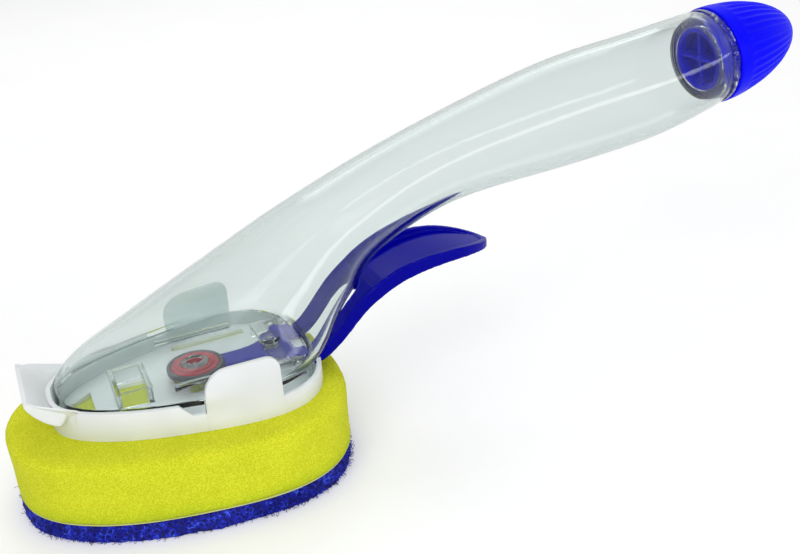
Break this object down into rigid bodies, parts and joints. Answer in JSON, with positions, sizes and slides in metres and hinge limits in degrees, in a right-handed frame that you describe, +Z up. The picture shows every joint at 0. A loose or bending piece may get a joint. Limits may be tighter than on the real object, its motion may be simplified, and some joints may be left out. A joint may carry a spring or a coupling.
{
  "type": "dish wand",
  "caption": "Soap dispensing dish wand with hollow clear handle, squeeze lever valve, screw cap and clip-on oval sponge.",
  "frame": {"origin": "centre of the sponge's length and width, on the scouring face", "axes": "+X along the wand from the sponge towards the cap, +Z up, away from the scouring face, Y across"},
  "size_m": [0.2799, 0.081, 0.1151],
  "materials": {
    "clear_plastic": "clear moulded plastic",
    "neck_clear": "clear moulded plastic",
    "floor_clear": "clear moulded plastic",
    "red_rubber": "smooth red rubber",
    "slate_plastic": "dark grey plastic",
    "bracket_clear": "clear moulded plastic",
    "screw_steel": "plated steel",
    "pin_steel": "bright steel",
    "spring_steel": "spring wire",
    "blue_lever": "gloss blue plastic",
    "grey_rubber": "pale grey rubber",
    "gasket_rubber": "pale rubber",
    "blue_cap": "satin blue plastic",
    "blue_core": "blue plastic",
    "white_plate": "white plastic",
    "yellow_foam": "cellular foam",
    "bond_film": "pale adhesive",
    "blue_scourer": "non-woven fibre"
  },
  "bodies": {
    "wand": {"reservoir_shell": "clear_plastic", "neck_insert": "neck_clear", "reservoir_floor": "floor_clear", "valve_seal": "red_rubber", "seal_keeper": "slate_plastic", "pivot_bracket": "bracket_clear", "bracket_screw": "screw_steel", "pivot_pin": "pin_steel", "trigger_spring": "spring_steel"},
    "lever": {"trigger_lever": "blue_lever", "valve_stopper": "grey_rubber"},
    "cap_carrier": {"cap_gasket": "gasket_rubber"},
    "cap": {"end_cap": "blue_cap", "cap_core": "blue_core"},
    "refill": {"sponge_plate": "white_plate", "sponge": "yellow_foam", "bond_layer": "bond_film", "scouring_pad": "blue_scourer"}
  },
  "joints": [
    {"name": "trigger_squeeze", "type": "hinge", "parent": "wand", "child": "lever", "pos_m": [0.0355, 0, 0.0306], "axis": [0, -1, 0], "range_deg": [0, 3.5], "stiffness_Nm_per_rad": 0.6, "springref_deg": -6.88},
    {"name": "cap_lift", "type": "slide", "parent": "wand", "child": "cap_carrier", "axis": [0.989, 0, 0.1478], "range_m": [0, 0.0112]},
    {"name": "cap_turn", "type": "hinge", "parent": "cap_carrier", "child": "cap", "pos_m": [0.19648, 0, 0.0981], "axis": [0.989, 0, 0.1478], "range_deg": [0, 1440]},
    {"name": "head_release", "type": "slide", "parent": "wand", "child": "refill", "axis": [0, 0, -1], "range_m": [0, 0.03]}
  ],
  "couplings": [
    {"joint": "cap_lift", "follows": "cap_turn", "m_per_rad": 0.00044563}
  ]
}
